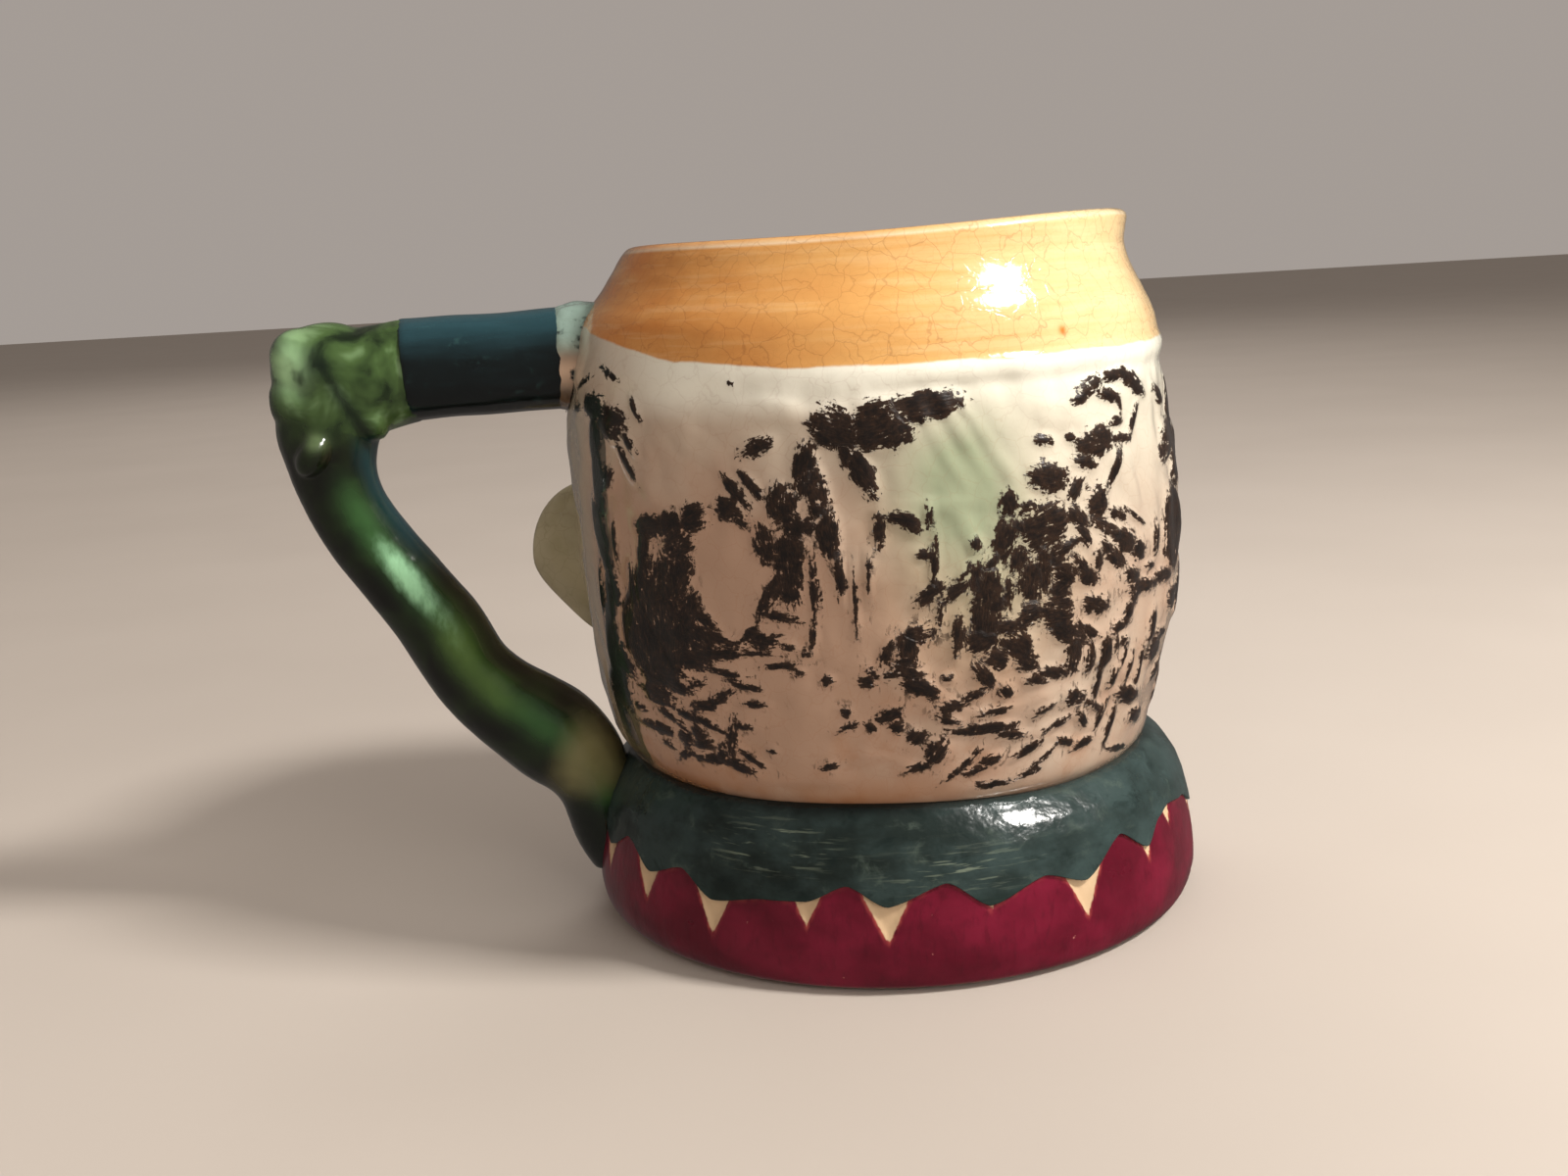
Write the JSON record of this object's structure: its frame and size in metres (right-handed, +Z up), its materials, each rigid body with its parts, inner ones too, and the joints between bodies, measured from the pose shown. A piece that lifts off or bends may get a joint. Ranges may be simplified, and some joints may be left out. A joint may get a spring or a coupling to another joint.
{
  "type": "head-shaped mug",
  "caption": "Small glazed pottery mug shaped like a head, with a hat-band rim, sponged hair, a rolled collar, a petal skirt and a handle like a knotted branch.",
  "frame": {"origin": "centre of the flat underside, on the surface the mug stands on", "axes": "+Z up along the cup's axis; the face looks along -Y; the handle stands out along +X"},
  "size_m": [0.1198, 0.0847, 0.0859],
  "materials": {
    "bare_clay": "unglazed pale earthenware, matt",
    "burgundy_glaze": "brushed burgundy under clear gloss glaze",
    "teal_glaze": "mottled teal under clear gloss glaze",
    "cream_glaze": "cream crackle glaze, sponged with brown-black",
    "orange_glaze": "thin orange brushed in bands under crackle glaze",
    "pale_glaze": "pale gloss glaze pooled round the joint",
    "dark_teal_glaze": "dark teal gloss glaze",
    "leaf_green_glaze": "mottled leaf green gloss glaze",
    "branch_green_glaze": "dark green gloss glaze, thinner and brighter on the crests",
    "celadon_glaze": "pale celadon gloss glaze",
    "dark_glaze": "brown-black brushed glaze",
    "rose_glaze": "soft rose gloss glaze"
  },
  "bodies": {
    "root": {"foot_plate": "bare_clay", "petal_skirt": "burgundy_glaze", "collar_roll": "teal_glaze", "head_wall": "cream_glaze", "hat_band": "orange_glaze", "handle_joint": "pale_glaze", "handle_arm": "dark_teal_glaze", "handle_knot": "leaf_green_glaze", "twig_stub_upper": "leaf_green_glaze", "twig_stub_lower": "leaf_green_glaze", "handle_leg": "branch_green_glaze", "handle_foot": "branch_green_glaze", "ear_left": "celadon_glaze", "ear_right": "celadon_glaze", "brow_left": "dark_glaze", "brow_right": "dark_glaze", "eye_left": "cream_glaze", "eye_right": "cream_glaze", "nose": "celadon_glaze", "lip_upper": "rose_glaze", "lip_lower": "rose_glaze", "chin": "celadon_glaze"}
  },
  "joints": []
}
